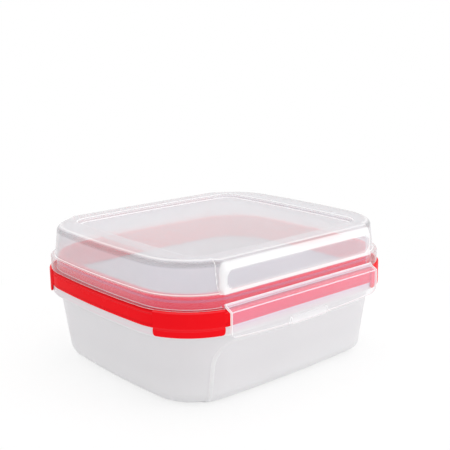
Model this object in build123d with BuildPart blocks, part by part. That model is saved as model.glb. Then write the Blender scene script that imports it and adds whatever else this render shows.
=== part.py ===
from build123d import *
import math
import os

# Food storage container: a drafted tub, a red sealing frame, a clear high lid and
# two clear locking flaps. Millimetres, +Z up, centre of the footprint at the origin,
# the front flap towards -Y.

# The plan outline: four corner arcs joined by slightly bowed sides
HALF_WIDTH = 101.6
HALF_DEPTH = 89.0
CORNER_RADIUS = 44.0
SIDE_BOW = 1.6

# Levels, each piece standing on the one below
RIM_TOP = 53.4
RIM_HEIGHT = 6.7
UPSTAND_HEIGHT = 3.6
BAND_HEIGHT = 11.2
COLLAR_HEIGHT = 8.9
LID_HEIGHT = 29.2
RIM_LOW = RIM_TOP - RIM_HEIGHT
UPSTAND_TOP = RIM_TOP + UPSTAND_HEIGHT
BAND_TOP = RIM_TOP + BAND_HEIGHT
COLLAR_TOP = BAND_TOP + COLLAR_HEIGHT
LID_TOP = BAND_TOP + LID_HEIGHT

# Flat faces under the flaps, cut this far into the outline's middle
LID_FACE_CUT = 2.7
BAND_FACE_CUT = 2.7
RIM_FACE_CUT = 3.0
LID_FACE_Y = HALF_DEPTH - LID_FACE_CUT
BAND_FACE_Y = HALF_DEPTH - BAND_FACE_CUT
RIM_FACE_Y = HALF_DEPTH - RIM_FACE_CUT

# Tub
WALL_DRAFT = 7.6
WALL_INSET_AT_FLOOR = 12.0
WALL_THICKNESS = 2.0
FLOOR_THICKNESS = 2.0
TUB_EDGE_RADIUS = 10.0
RIM_INSET = 0.3
RIM_EDGE_RADIUS = 2.7
UPSTAND_INSET = 4.7
PANEL_END_GAP = 32.1
PANEL_BELOW_RIM = 5.7
PANEL_HALF_WIDTH = HALF_WIDTH - PANEL_END_GAP
PANEL_TOP = RIM_LOW - PANEL_BELOW_RIM
PANEL_CORNER_RADIUS = 14.0
PANEL_PROUD = 1.5

# Red frame
FRAME_OPENING_INSET = 8.5
COLLAR_INSET = 4.8
UPSTAND_CLEARANCE = 0.4
CHANNEL_OUTER_INSET = UPSTAND_INSET - UPSTAND_CLEARANCE
CHANNEL_WIDTH = 2.45
CHANNEL_INNER_INSET = CHANNEL_OUTER_INSET + CHANNEL_WIDTH
LOWER_GASKET_HEIGHT = 1.2
CHANNEL_ROOF = UPSTAND_TOP + LOWER_GASKET_HEIGHT
INNER_LEG_RISE = 2.6
INNER_LEG_LOW = RIM_TOP + INNER_LEG_RISE
BAND_GROOVE_BELOW_TOP = 2.2
BAND_GROOVE_HEIGHT = 0.7
BAND_GROOVE_HIGH = BAND_TOP - BAND_GROOVE_BELOW_TOP
BAND_GROOVE_LOW = BAND_GROOVE_HIGH - BAND_GROOVE_HEIGHT
BAND_GROOVE_DEPTH = 0.5
COLLAR_EDGE_RADIUS = 0.8
TAB_PROUD = 1.3
TAB_CLEARANCE = 0.1
TAB_OVERHANG = 4.5
TAB_LOW = RIM_TOP - TAB_OVERHANG
TAB_START_ANGLE = 13.5
TAB_END_ANGLE = 70.0
TAB_END_RADIUS = 2.2
TAB_ROOT_INSET = 1.0

# Gaskets
GASKET_FIT = 0.05
BEAD_RISE = 4.1
BEAD_HEIGHT = 1.6
BEAD_PROUD = 0.5
BEAD_SEAT_DEPTH = 1.2
BEAD_LOW = BAND_TOP + BEAD_RISE
BEAD_HIGH = BEAD_LOW + BEAD_HEIGHT
BEAD_INSET = COLLAR_INSET - BEAD_PROUD
BEAD_SEAT_INSET = COLLAR_INSET + BEAD_SEAT_DEPTH

# Lid
SKIRT_ABOVE_COLLAR = 0.1
SKIRT_TOP = COLLAR_TOP + SKIRT_ABOVE_COLLAR
SKIRT_INNER_INSET = 3.9
SKIRT_EDGE_RADIUS = 3.2
DOME_INSET = 3.0
DOME_DRAFT = 6.9
DOME_EDGE_RADIUS = 4.2
DOME_THICKNESS = 1.6
TOP_RIM_AT_ENDS = 25.1
TOP_RIM_AT_FRONT = 17.5
RECESS_HALF_WIDTH = HALF_WIDTH - TOP_RIM_AT_ENDS
RECESS_HALF_DEPTH = HALF_DEPTH - TOP_RIM_AT_FRONT
RECESS_BOW = 1.5
RECESS_CORNER_RADIUS = 13.0
RECESS_DEPTH = 3.0
RECESS_DRAFT = 25.0
HOOD_END_GAP = 33.6
HOOD_HALF_WIDTH = HALF_WIDTH - HOOD_END_GAP
HOOD_CORNER_RADIUS = 5.0
HOOD_FACE_DROP = 6.8
HOOD_SLOPE_DROP = 1.8
HOOD_SLOPE_BACK = 2.1
HOOD_CREST_BACK = 5.0
HOOD_FACE_TOP = LID_TOP - HOOD_FACE_DROP
HOOD_SLOPE_Z = LID_TOP - HOOD_SLOPE_DROP
HOOD_SLOPE_Y = LID_FACE_Y - HOOD_SLOPE_BACK
HOOD_CREST_Y = LID_FACE_Y - HOOD_CREST_BACK
HOOD_BEND_RADIUS = 4.0
HOOD_THICKNESS = 1.5

# Flaps, hung from a hinge line just in front of the lid's face
HINGE_STAND_OFF = 0.3
HINGE_RISE = 2.4
HINGE_Y = LID_FACE_Y + HINGE_STAND_OFF
HINGE_Z = BAND_TOP + HINGE_RISE
FLAP_SHORT_OF_HOOD = 2.0
FLAP_THICKNESS = 1.3
FLAP_OUT = 5.8
FLAP_SHOULDER_DROP = 3.0
FLAP_WAIST_DROP = 11.5
FLAP_KNEE_OUT = 5.3
FLAP_KNEE_DROP = 17.0
FLAP_TIP_OUT = 4.4
FLAP_TIP_DROP = 22.2
FLAP_HALF_WIDTH = HOOD_HALF_WIDTH - FLAP_SHORT_OF_HOOD
FLAP_LOW = HINGE_Z - FLAP_TIP_DROP
FLAP_TIP_Y = HINGE_Y + FLAP_TIP_OUT
FLAP_BEND_RADIUS = 1.8
FLAP_CORNER_RADIUS = 5.0
FLAP_EDGE_BOW = 3.0
FLAP_EDGE_RADIUS = (FLAP_HALF_WIDTH**2 + FLAP_EDGE_BOW**2) / (2 * FLAP_EDGE_BOW)
HINGE_BEAD_RADIUS = 0.8
HINGE_RUNNING_CLEARANCE = 0.05
HINGE_END_CLEARANCE = 0.3
THUMB_HALF_WIDTH = 16.5
THUMB_HEIGHT = 4.7
THUMB_PROUD = 1.2
THUMB_TOP_OUT = 1.4
THUMB_TOP = FLAP_LOW + THUMB_HEIGHT

# Centre of the outline's corner arcs, and the lift tabs' ends as directions from it
CORNER_X = HALF_WIDTH - SIDE_BOW - CORNER_RADIUS
CORNER_Y = HALF_DEPTH - SIDE_BOW - CORNER_RADIUS
TAB_REACH = 2 * CORNER_RADIUS
START_SINE = math.sin(math.radians(TAB_START_ANGLE))
START_COSINE = math.cos(math.radians(TAB_START_ANGLE))
END_SINE = math.sin(math.radians(TAB_END_ANGLE))
END_COSINE = math.cos(math.radians(TAB_END_ANGLE))


def bowed_plan(half_width, half_depth, radius, bow, inset, mode=Mode.ADD):
    """A rectangle with round corners and bowed sides, moved inward by inset.

    A side's circle touches both corner arcs and stands bow further out than their
    common tangent at its middle. With a corner centre c and a side's rise h above it,
    that circle's radius is (c^2 + h^2 - radius^2) / (2 (h - radius)).
    """
    corner = Vector(half_width - bow - radius, half_depth - bow - radius)
    rise = radius + bow
    front_radius = (corner.X**2 + rise**2 - radius**2) / (2 * bow)
    side_radius = (corner.Y**2 + rise**2 - radius**2) / (2 * bow)
    to_front = Vector(corner.X, front_radius - rise).normalized()
    to_side = Vector(side_radius - rise, corner.Y).normalized()
    to_middle = (to_front + to_side).normalized()
    front = corner + to_front * (radius - inset)
    middle = corner + to_middle * (radius - inset)
    side = corner + to_side * (radius - inset)
    with BuildLine() as loop:
        ThreePointArc((front.X, front.Y), (0, half_depth - inset), (-front.X, front.Y))
        ThreePointArc((-front.X, front.Y), (-middle.X, middle.Y), (-side.X, side.Y))
        ThreePointArc((-side.X, side.Y), (inset - half_width, 0), (-side.X, -side.Y))
        ThreePointArc((-side.X, -side.Y), (-middle.X, -middle.Y), (-front.X, -front.Y))
        ThreePointArc((-front.X, -front.Y), (0, inset - half_depth), (front.X, -front.Y))
        ThreePointArc((front.X, -front.Y), (middle.X, -middle.Y), (side.X, -side.Y))
        ThreePointArc((side.X, -side.Y), (half_width - inset, 0), (side.X, side.Y))
        ThreePointArc((side.X, side.Y), (middle.X, middle.Y), (front.X, front.Y))
    make_face(loop.edges(), mode=mode)


def outline(inset, mode=Mode.ADD):
    """The container's plan outline moved inward by inset, drawn in the open sketch."""
    bowed_plan(HALF_WIDTH, HALF_DEPTH, CORNER_RADIUS, SIDE_BOW, inset, mode)


def wall_inset(z):
    """How far the tub's drafted outer wall stands inside the outline at height z."""
    return WALL_INSET_AT_FLOOR - z * math.tan(math.radians(WALL_DRAFT))


def hood_section(inset):
    """Section of the lid across both hoods, moved inward by inset, in the open sketch."""
    face = LID_FACE_Y - inset
    top = LID_TOP - inset
    with BuildLine() as loop:
        FilletPolyline(
            (-face, BAND_TOP),
            (-face, HOOD_FACE_TOP),
            (-HOOD_SLOPE_Y + inset, HOOD_SLOPE_Z - inset),
            (-HOOD_CREST_Y + inset, top),
            (HOOD_CREST_Y - inset, top),
            (HOOD_SLOPE_Y - inset, HOOD_SLOPE_Z - inset),
            (face, HOOD_FACE_TOP),
            (face, BAND_TOP),
            radius=HOOD_BEND_RADIUS - inset,
            close=False,
        )
        Line((face, BAND_TOP), (-face, BAND_TOP))
    make_face(loop.edges())


def recess_plan(inset):
    """Plan of the lid's recess moved inward by inset, drawn in the open sketch."""
    bowed_plan(RECESS_HALF_WIDTH, RECESS_HALF_DEPTH, RECESS_CORNER_RADIUS, RECESS_BOW, inset)


def facing_down(z):
    """A sketch plane at height z whose normal points down."""
    return Plane(origin=(0, 0, z), x_dir=(1, 0, 0), z_dir=(0, 0, -1))


# Tub: outer body of the raised panels, cut to their front view
with BuildPart() as panels:
    with BuildSketch(facing_down(RIM_LOW)):
        outline(wall_inset(RIM_LOW) - PANEL_PROUD)
    extrude(amount=RIM_LOW, taper=WALL_DRAFT)
    fillet(panels.faces().sort_by(Axis.Z)[0].edges(), TUB_EDGE_RADIUS)
    with BuildSketch(Plane.XZ):
        RectangleRounded(2 * PANEL_HALF_WIDTH, 2 * PANEL_TOP, PANEL_CORNER_RADIUS)
    extrude(amount=HALF_DEPTH, both=True, mode=Mode.INTERSECT)

# Tub: the space inside the raised panels
with BuildPart() as panel_space:
    with BuildSketch(facing_down(RIM_LOW)):
        outline(wall_inset(RIM_LOW) - PANEL_PROUD + WALL_THICKNESS)
    extrude(amount=RIM_LOW - FLOOR_THICKNESS, taper=WALL_DRAFT)
    fillet(panel_space.faces().sort_by(Axis.Z)[0].edges(), TUB_EDGE_RADIUS - WALL_THICKNESS)
    with BuildSketch(Plane.XZ):
        RectangleRounded(
            2 * (PANEL_HALF_WIDTH - WALL_THICKNESS),
            2 * (PANEL_TOP - WALL_THICKNESS),
            PANEL_CORNER_RADIUS - WALL_THICKNESS,
        )
    extrude(amount=HALF_DEPTH, both=True, mode=Mode.INTERSECT)

# Tub: the main space
with BuildPart() as tub_space:
    with BuildSketch(facing_down(UPSTAND_TOP)):
        outline(wall_inset(UPSTAND_TOP) + WALL_THICKNESS)
    extrude(amount=UPSTAND_TOP - FLOOR_THICKNESS, taper=WALL_DRAFT)
    fillet(tub_space.faces().sort_by(Axis.Z)[0].edges(), TUB_EDGE_RADIUS - WALL_THICKNESS)

# Tub: the rim with its rounded lower edge and the flats under the flaps
with BuildPart() as rim:
    with BuildSketch(Plane.XY.offset(RIM_LOW)):
        outline(RIM_INSET)
    extrude(amount=RIM_TOP - RIM_LOW)
    fillet(rim.faces().sort_by(Axis.Z)[0].edges(), RIM_EDGE_RADIUS)
    with BuildSketch(Plane.XY.offset(RIM_LOW)):
        Rectangle(2 * HALF_WIDTH, 2 * RIM_FACE_Y)
    extrude(amount=RIM_TOP - RIM_LOW, mode=Mode.INTERSECT)

with BuildPart() as base_tray:
    with BuildSketch(facing_down(RIM_TOP)):
        outline(wall_inset(RIM_TOP))
    extrude(amount=RIM_TOP, taper=WALL_DRAFT)
    fillet(base_tray.faces().sort_by(Axis.Z)[0].edges(), TUB_EDGE_RADIUS)
    add(panels.part)
    add(rim.part)
    with BuildSketch(Plane.XY.offset(RIM_TOP)):
        outline(UPSTAND_INSET)
    extrude(amount=UPSTAND_TOP - RIM_TOP)
    add(tub_space.part, mode=Mode.SUBTRACT)
    add(panel_space.part, mode=Mode.SUBTRACT)

# Red frame: where the lift tabs are, as four wedges from the corner centres
with BuildSketch() as tab_wedges:
    for side_x in (-1, 1):
        for side_y in (-1, 1):
            with BuildLine():
                Polyline(
                    (side_x * CORNER_X, side_y * CORNER_Y),
                    (side_x * (CORNER_X + TAB_REACH * START_SINE), side_y * (CORNER_Y + TAB_REACH * START_COSINE)),
                    (side_x * (CORNER_X + TAB_REACH * END_SINE), side_y * (CORNER_Y + TAB_REACH * END_COSINE)),
                    close=True,
                )
            make_face()

# Red frame: the tabs, a strip round each corner that hangs over the rim
with BuildPart() as tabs:
    with BuildSketch(Plane.XY.offset(TAB_LOW)):
        outline(-TAB_PROUD)
        outline(-TAB_CLEARANCE, mode=Mode.SUBTRACT)
        add(tab_wedges.sketch, mode=Mode.INTERSECT)
    extrude(amount=BAND_TOP - TAB_LOW)
    tab_ends = tabs.edges().filter_by(GeomType.LINE).filter_by_position(Axis.Z, TAB_LOW - 0.1, TAB_LOW + 0.1)
    fillet(tab_ends, TAB_END_RADIUS)

# Red frame: what joins the tabs to the band above the rim
with BuildPart() as tab_roots:
    with BuildSketch(Plane.XY.offset(RIM_TOP)):
        outline(-TAB_CLEARANCE)
        outline(TAB_ROOT_INSET, mode=Mode.SUBTRACT)
        add(tab_wedges.sketch, mode=Mode.INTERSECT)
    extrude(amount=BAND_TOP - RIM_TOP)

with BuildPart() as seal_frame:
    with BuildSketch(Plane.XY.offset(RIM_TOP)):
        outline(0)
    extrude(amount=BAND_TOP - RIM_TOP)
    # the thin groove that runs round the band below its top
    with BuildSketch(Plane.XY.offset(BAND_GROOVE_LOW)):
        outline(-1)
        outline(BAND_GROOVE_DEPTH, mode=Mode.SUBTRACT)
    extrude(amount=BAND_GROOVE_HIGH - BAND_GROOVE_LOW, mode=Mode.SUBTRACT)
    # the flats under the two flaps
    with BuildSketch(Plane.XY.offset(RIM_TOP)):
        Rectangle(2 * HALF_WIDTH, 2 * BAND_FACE_Y)
    extrude(amount=BAND_TOP - RIM_TOP, mode=Mode.INTERSECT)
    # the collar that stands inside the lid, and the seat of its bead
    with BuildSketch(Plane.XY.offset(BAND_TOP)):
        outline(COLLAR_INSET)
    extrude(amount=COLLAR_TOP - BAND_TOP)
    fillet(seal_frame.faces().sort_by(Axis.Z)[-1].edges(), COLLAR_EDGE_RADIUS)
    with BuildSketch(Plane.XY.offset(BEAD_LOW)):
        outline(COLLAR_INSET - 1)
        outline(BEAD_SEAT_INSET, mode=Mode.SUBTRACT)
    extrude(amount=BEAD_HIGH - BEAD_LOW, mode=Mode.SUBTRACT)
    # the opening, and below it the channel that drops over the tub's upstand
    with BuildSketch(Plane.XY.offset(RIM_TOP)):
        outline(FRAME_OPENING_INSET)
    extrude(amount=COLLAR_TOP - RIM_TOP, mode=Mode.SUBTRACT)
    with BuildSketch(Plane.XY.offset(RIM_TOP)):
        outline(CHANNEL_OUTER_INSET)
        outline(CHANNEL_INNER_INSET, mode=Mode.SUBTRACT)
    extrude(amount=CHANNEL_ROOF - RIM_TOP, mode=Mode.SUBTRACT)
    with BuildSketch(Plane.XY.offset(RIM_TOP)):
        outline(CHANNEL_INNER_INSET)
    extrude(amount=INNER_LEG_LOW - RIM_TOP, mode=Mode.SUBTRACT)
    add(tab_roots.part)
    add(tabs.part)

with BuildPart() as lower_gasket:
    with BuildSketch(Plane.XY.offset(UPSTAND_TOP)):
        outline(CHANNEL_OUTER_INSET + GASKET_FIT)
        outline(CHANNEL_INNER_INSET - GASKET_FIT, mode=Mode.SUBTRACT)
    extrude(amount=CHANNEL_ROOF - UPSTAND_TOP)

with BuildPart() as upper_gasket:
    with BuildSketch(Plane.XY.offset(BEAD_LOW + GASKET_FIT)):
        outline(BEAD_INSET)
        outline(BEAD_SEAT_INSET - GASKET_FIT, mode=Mode.SUBTRACT)
    extrude(amount=BEAD_HIGH - BEAD_LOW - 2 * GASKET_FIT)

# Lid: the skirt that stands on the band, flat under the flaps
with BuildPart() as skirt:
    with BuildSketch(Plane.XY.offset(BAND_TOP)):
        outline(0)
    extrude(amount=SKIRT_TOP - BAND_TOP)
    fillet(skirt.faces().sort_by(Axis.Z)[-1].edges(), SKIRT_EDGE_RADIUS)
    with BuildSketch(Plane.XY.offset(BAND_TOP)):
        Rectangle(2 * HALF_WIDTH, 2 * LID_FACE_Y)
    extrude(amount=SKIRT_TOP - BAND_TOP, mode=Mode.INTERSECT)

# Lid: the raised hoods, one body from front to back with rounded ends
with BuildPart() as hoods:
    with BuildSketch(Plane.XY.offset(BAND_TOP)):
        RectangleRounded(2 * HOOD_HALF_WIDTH, 2 * LID_FACE_Y, HOOD_CORNER_RADIUS)
    extrude(amount=LID_TOP - BAND_TOP)
    with BuildSketch(Plane.YZ):
        hood_section(0)
    extrude(amount=HALF_WIDTH, both=True, mode=Mode.INTERSECT)

# Lid: the space inside the hoods
with BuildPart() as hood_space:
    with BuildSketch(Plane.XY.offset(BAND_TOP)):
        RectangleRounded(
            2 * (HOOD_HALF_WIDTH - HOOD_THICKNESS),
            2 * (LID_FACE_Y - HOOD_THICKNESS),
            HOOD_CORNER_RADIUS - HOOD_THICKNESS,
        )
    extrude(amount=LID_TOP - BAND_TOP)
    with BuildSketch(Plane.YZ):
        hood_section(HOOD_THICKNESS)
    extrude(amount=HALF_WIDTH, both=True, mode=Mode.INTERSECT)

# Lid: the drafted space under the dome
with BuildPart() as dome_space:
    with BuildSketch(Plane.XY.offset(SKIRT_TOP)):
        outline(DOME_INSET + DOME_THICKNESS)
    extrude(amount=LID_TOP - DOME_THICKNESS - SKIRT_TOP, taper=DOME_DRAFT)
    fillet(dome_space.faces().sort_by(Axis.Z)[-1].edges(), DOME_EDGE_RADIUS - DOME_THICKNESS)

with BuildPart() as dome_lid:
    with BuildSketch(Plane.XY.offset(SKIRT_TOP)):
        outline(DOME_INSET)
    extrude(amount=LID_TOP - SKIRT_TOP, taper=DOME_DRAFT)
    fillet(dome_lid.faces().sort_by(Axis.Z)[-1].edges(), DOME_EDGE_RADIUS)
    add(skirt.part)
    add(hoods.part)
    add(dome_space.part, mode=Mode.SUBTRACT)
    add(hood_space.part, mode=Mode.SUBTRACT)
    with BuildSketch(Plane.XY.offset(BAND_TOP)):
        outline(SKIRT_INNER_INSET)
    extrude(amount=SKIRT_TOP - BAND_TOP, mode=Mode.SUBTRACT)
    # the pan that carries the recessed top, then the recess itself
    with BuildSketch(facing_down(LID_TOP - DOME_THICKNESS)):
        recess_plan(-DOME_THICKNESS)
    extrude(amount=RECESS_DEPTH, taper=RECESS_DRAFT)
    with BuildSketch(facing_down(LID_TOP)):
        recess_plan(0)
    extrude(amount=RECESS_DEPTH, taper=RECESS_DRAFT, mode=Mode.SUBTRACT)
    # the half-round seats of the flap hinges
    for side_y in (-1, 1):
        with BuildSketch(Plane.YZ):
            with Locations((side_y * HINGE_Y, HINGE_Z)):
                Circle(HINGE_BEAD_RADIUS + HINGE_RUNNING_CLEARANCE)
        extrude(amount=FLAP_HALF_WIDTH + HINGE_END_CLEARANCE, both=True, mode=Mode.SUBTRACT)


with BuildPart() as front_flap:
    # the plate: shoulder, face and inward foot, cut off in front of the hinge line
    with BuildSketch(Plane.YZ):
        with BuildLine():
            FilletPolyline(
                (-HINGE_Y, HINGE_Z),
                (-HINGE_Y - FLAP_OUT, HINGE_Z - FLAP_SHOULDER_DROP),
                (-HINGE_Y - FLAP_OUT, HINGE_Z - FLAP_WAIST_DROP),
                (-HINGE_Y - FLAP_KNEE_OUT, HINGE_Z - FLAP_KNEE_DROP),
                (-FLAP_TIP_Y, FLAP_LOW),
                radius=FLAP_BEND_RADIUS,
            )
            offset(amount=FLAP_THICKNESS, side=Side.LEFT)
        make_face()
        with Locations((HALF_DEPTH - HINGE_Y, HINGE_Z)):
            Rectangle(2 * HALF_DEPTH, 4 * FLAP_THICKNESS, mode=Mode.SUBTRACT)
    extrude(amount=FLAP_HALF_WIDTH, both=True)
    # the thumb lip in the middle of the lower edge
    with BuildSketch(Plane.YZ):
        with BuildLine():
            Polyline(
                (-FLAP_TIP_Y, FLAP_LOW),
                (-FLAP_TIP_Y - THUMB_PROUD, FLAP_LOW),
                (-FLAP_TIP_Y - THUMB_TOP_OUT, THUMB_TOP),
                (-FLAP_TIP_Y, THUMB_TOP),
                close=True,
            )
        make_face()
    extrude(amount=THUMB_HALF_WIDTH, both=True)
    # the lower edge, which hangs lowest in the middle, and its rounded corners
    with BuildSketch(Plane.XZ):
        with Locations((0, HINGE_Z)):
            Rectangle(2 * FLAP_HALF_WIDTH, 4 * FLAP_TIP_DROP)
        with Locations((0, FLAP_LOW + FLAP_EDGE_RADIUS)):
            Circle(FLAP_EDGE_RADIUS, mode=Mode.INTERSECT)
        fillet(vertices().sort_by(Axis.Y)[:2], FLAP_CORNER_RADIUS)
    extrude(amount=2 * HALF_DEPTH, both=True, mode=Mode.INTERSECT)
    # the hinge bead along the upper edge
    with BuildSketch(Plane.YZ):
        with Locations((-HINGE_Y, HINGE_Z)):
            Circle(HINGE_BEAD_RADIUS)
    extrude(amount=FLAP_HALF_WIDTH, both=True)

with BuildPart() as rear_flap:
    add(front_flap.part)
    mirror(about=Plane.XZ, mode=Mode.REPLACE)

base_tray.part.label = "base_tray"
seal_frame.part.label = "seal_frame"
lower_gasket.part.label = "lower_gasket"
upper_gasket.part.label = "upper_gasket"
dome_lid.part.label = "dome_lid"
front_flap.part.label = "front_flap"
rear_flap.part.label = "rear_flap"

os.makedirs("parts", exist_ok=True)
export_step(base_tray.part, "parts/base_tray.step")
export_step(seal_frame.part, "parts/seal_frame.step")
export_step(lower_gasket.part, "parts/lower_gasket.step")
export_step(upper_gasket.part, "parts/upper_gasket.step")
export_step(dome_lid.part, "parts/dome_lid.step")
export_step(front_flap.part, "parts/front_flap.step")
export_step(rear_flap.part, "parts/rear_flap.step")
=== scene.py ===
# %% [markdown]
# # A food storage container with a clear lid, a red sealing frame and two flaps
# The container is a milky tub, a glossy red frame that sits on its rim, a clear lid
# that stands on the frame, and a clear flap along the front and the back. The CAD
# solids are the frame of this scene. They could be shown as they are, but clear
# plastic is all about its rounded edges, so each visible piece gets a finer surface
# here, made as a profile carried round the same plan outline.

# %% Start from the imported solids
import math

import bpy
import numpy as np
from mathutils import Matrix, Vector


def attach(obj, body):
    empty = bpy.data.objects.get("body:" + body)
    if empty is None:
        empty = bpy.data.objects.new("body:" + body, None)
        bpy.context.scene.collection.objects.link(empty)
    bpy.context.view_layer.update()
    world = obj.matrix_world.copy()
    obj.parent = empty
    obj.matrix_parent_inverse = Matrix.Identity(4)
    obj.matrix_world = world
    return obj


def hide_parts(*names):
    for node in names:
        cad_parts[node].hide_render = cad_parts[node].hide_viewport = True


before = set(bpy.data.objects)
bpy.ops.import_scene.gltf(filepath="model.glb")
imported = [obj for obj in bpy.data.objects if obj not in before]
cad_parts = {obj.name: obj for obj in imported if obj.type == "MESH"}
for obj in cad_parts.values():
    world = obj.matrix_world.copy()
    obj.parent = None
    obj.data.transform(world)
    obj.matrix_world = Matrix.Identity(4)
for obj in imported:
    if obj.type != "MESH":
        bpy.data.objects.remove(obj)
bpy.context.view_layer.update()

MM = 0.001
print("solids:", sorted(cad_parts))

# %% [markdown]
# ## Heights that the pieces share
# The main heights at which pieces meet are named once here and read by both pieces.
# Smaller seats, such as the bead's, are written in the profiles. The pieces are measured
# in millimetres, which become metres when a mesh is made. The floor, the lamps and the
# camera are placed in metres.

# %% Shared heights and flats
RIM_TOP = 53.4  # the tub's rim ends and the red band starts
BAND_TOP = 64.6  # the red band ends and the lid's skirt starts
COLLAR_TOP = 73.5  # upper end of the collar inside the lid
SHOULDER = 73.6  # the skirt turns in to the lid's wall
LID_TOP = 93.8
CEILING = 92.2  # underside of the lid's rim
RECESS_FLOOR = 90.8
PAN_FLOOR = 89.2  # underside of the recess
BAND_FLAT = 86.3  # the band and the skirt are cut flat at this |y| under the flaps
RIM_FLAT = 86.0  # and so is the tub's rim
HINGE_Y, HINGE_Z = 86.6, 67.0
print("whole height in mm:", LID_TOP, "of which the red band:", round(BAND_TOP - RIM_TOP, 1))

# %% [markdown]
# ## The plan outline
# Seen from above, every ring of the container has the same shape: four round corners
# joined by sides that bow out a little. It is stored as eight arcs. Each point keeps
# its arc's centre, radius and outward direction, so moving the whole outline inward
# by an inset is one line of array arithmetic, and the result stays exactly parallel.


# %% The outline as arrays
def bowed_plan(half_width, half_depth, radius, bow, corner_steps, front_steps, side_steps):
    """Centre, radius and outward direction of points round a bowed rectangle.

    A side's circle touches both corner arcs and passes bow outside their common
    tangent: R = (c^2 + h^2 - radius^2) / (2 bow), with c the corner centre's distance
    along the side and h = radius + bow. The point at inset i is
    centre + (R - i) * outward. corner_steps runs from 0 to 1 round a corner.
    """
    corner = np.array([half_width - bow - radius, half_depth - bow - radius])
    rise = radius + bow
    front_radius = (corner[0] ** 2 + rise**2 - radius**2) / (2 * bow)
    side_radius = (corner[1] ** 2 + rise**2 - radius**2) / (2 * bow)
    front_angle = math.atan2(corner[0], front_radius - rise)
    side_angle = math.atan2(corner[1], side_radius - rise)
    turn = front_angle + (math.pi / 2 - front_angle - side_angle) * corner_steps
    front = np.linspace(-front_angle, front_angle, front_steps, endpoint=False)
    side = np.linspace(-side_angle, side_angle, side_steps, endpoint=False) + math.pi / 2
    half_turn = np.concatenate([front, turn[:-1], side, (math.pi - turn[::-1])[:-1]])
    angle = np.concatenate([half_turn, half_turn + math.pi])
    centre_front = np.array([0.0, front_radius - half_depth])
    centre_side = np.array([half_width - side_radius, 0.0])
    counts = [len(front), len(turn) - 1, len(side), len(turn) - 1] * 2
    centres = [
        centre_front, corner * (1, -1), centre_side, corner,
        -centre_front, corner * (-1, 1), -centre_side, -corner,
    ]
    radii = [front_radius, radius, side_radius, radius] * 2
    return {
        "centre": np.repeat(np.array(centres), counts, axis=0),
        "radius": np.repeat(np.array(radii), counts),
        "outward": np.stack([np.sin(angle), -np.cos(angle)], axis=1),
    }


def inset_rows(plan, inset):
    """One row of x, y for each inset: centre + (radius - inset) * outward."""
    inset = np.atleast_1d(np.asarray(inset, float))[:, None, None]
    return plan["centre"] + (plan["radius"][:, None] - inset) * plan["outward"]


# A corner's points are packed closely where the hood and the flaps end on it
corner_share = np.concatenate([
    np.linspace(0, 0.10, 6, endpoint=False),
    np.linspace(0.10, 0.30, 46, endpoint=False),
    np.linspace(0.30, 1.0, 32),
])
BAND = (101.6, 89.0, 44.0, 1.6)
outline = bowed_plan(*BAND, corner_share, 100, 44)
corner_x = BAND[0] - BAND[3] - BAND[2]
corner_y = BAND[1] - BAND[3] - BAND[2]
loop = inset_rows(outline, 0)[0]
print("points round the outline:", len(loop), "size:", np.ptp(loop, axis=0).round(1))

# %% [markdown]
# ## Profiles and skins
# A moulded part has no sharp edges. A profile is written as a few corner points, each
# with its own radius, and is then sampled with a short arc at every corner. Carried
# round the outline it gives a grid of points, rows along the profile and columns round
# the outline, which is skinned with quads.


# %% Rounded profiles
def rounded(corners, steps=6):
    """Samples a polyline whose corners are (u, z, radius).

    An arc of radius r at a corner with turning angle a touches both legs at a distance
    r * tan(a / 2) from it. Its centre lies at r / cos(a / 2) on the bisector. Arcs of
    more than 7 mm get twice the steps.
    """
    p = np.array([c[:2] for c in corners], float)
    out = [p[:1]]
    for before, at, after, radius in zip(p[:-2], p[1:-1], p[2:], [c[2] for c in corners[1:-1]]):
        a = (before - at) / np.linalg.norm(before - at)
        b = (after - at) / np.linalg.norm(after - at)
        half = math.acos(max(-1.0, min(1.0, float(a @ b)))) / 2
        reach = min(radius / math.tan(half), 0.49 * np.linalg.norm(before - at),
                    0.49 * np.linalg.norm(after - at))
        r = reach * math.tan(half)
        centre = at + (a + b) / np.linalg.norm(a + b) * (r / math.sin(half))
        first, last = at + a * reach - centre, at + b * reach - centre
        share = np.linspace(0, 1, (2 if r > 7 else 1) * steps + 1)[:, None]
        chord = first + (last - first) * share
        out.append(centre + chord / np.linalg.norm(chord, axis=1)[:, None] * r)
    return np.concatenate(out + [p[-1:]])


# %% [markdown]
# Moulded plastic catches the light where it folds, and that highlight is painted on here as
# a pale colour. The folds could be marked by hand, but the grid knows its own shape: its
# normal turns quickly from one point to the next on a tight fold and hardly at all on a
# flat wall, and that is measured here.


# %% How tightly a surface bends
def neighbours(values, axis, closed):
    """The values one step before and one step after each point of a grid. At the ends
    of an open direction the point itself stands in."""
    before, after = np.roll(values, 1, axis), np.roll(values, -1, axis)
    if not closed:
        before[0], after[-1] = values[0], values[-1]
    return before, after


def tightness(grid, close_rows):
    """How tightly the surface bends at each point, in 1/mm.

    The normal is the cross product of the steps along the rows and the columns. Its
    change from one neighbour to the next, over their distance, is the bending: 1 / r on
    a fold of radius r and 0 on a flat floor. The larger of the two directions counts.
    """
    row_before, row_after = neighbours(grid, 0, close_rows)
    col_before, col_after = neighbours(grid, 1, True)
    normal = np.cross(row_after - row_before, col_after - col_before)
    normal /= np.maximum(np.linalg.norm(normal, axis=2, keepdims=True), 1e-9)
    found = np.zeros(grid.shape[:2])
    for axis, ends in ((0, (row_before, row_after)), (1, (col_before, col_after))):
        turn = np.subtract(*neighbours(normal, axis, close_rows if axis == 0 else True))
        apart = np.linalg.norm(ends[1] - ends[0], axis=2)
        found = np.maximum(found, np.linalg.norm(turn, axis=2) / np.maximum(apart, 0.1))
    return found


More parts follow.
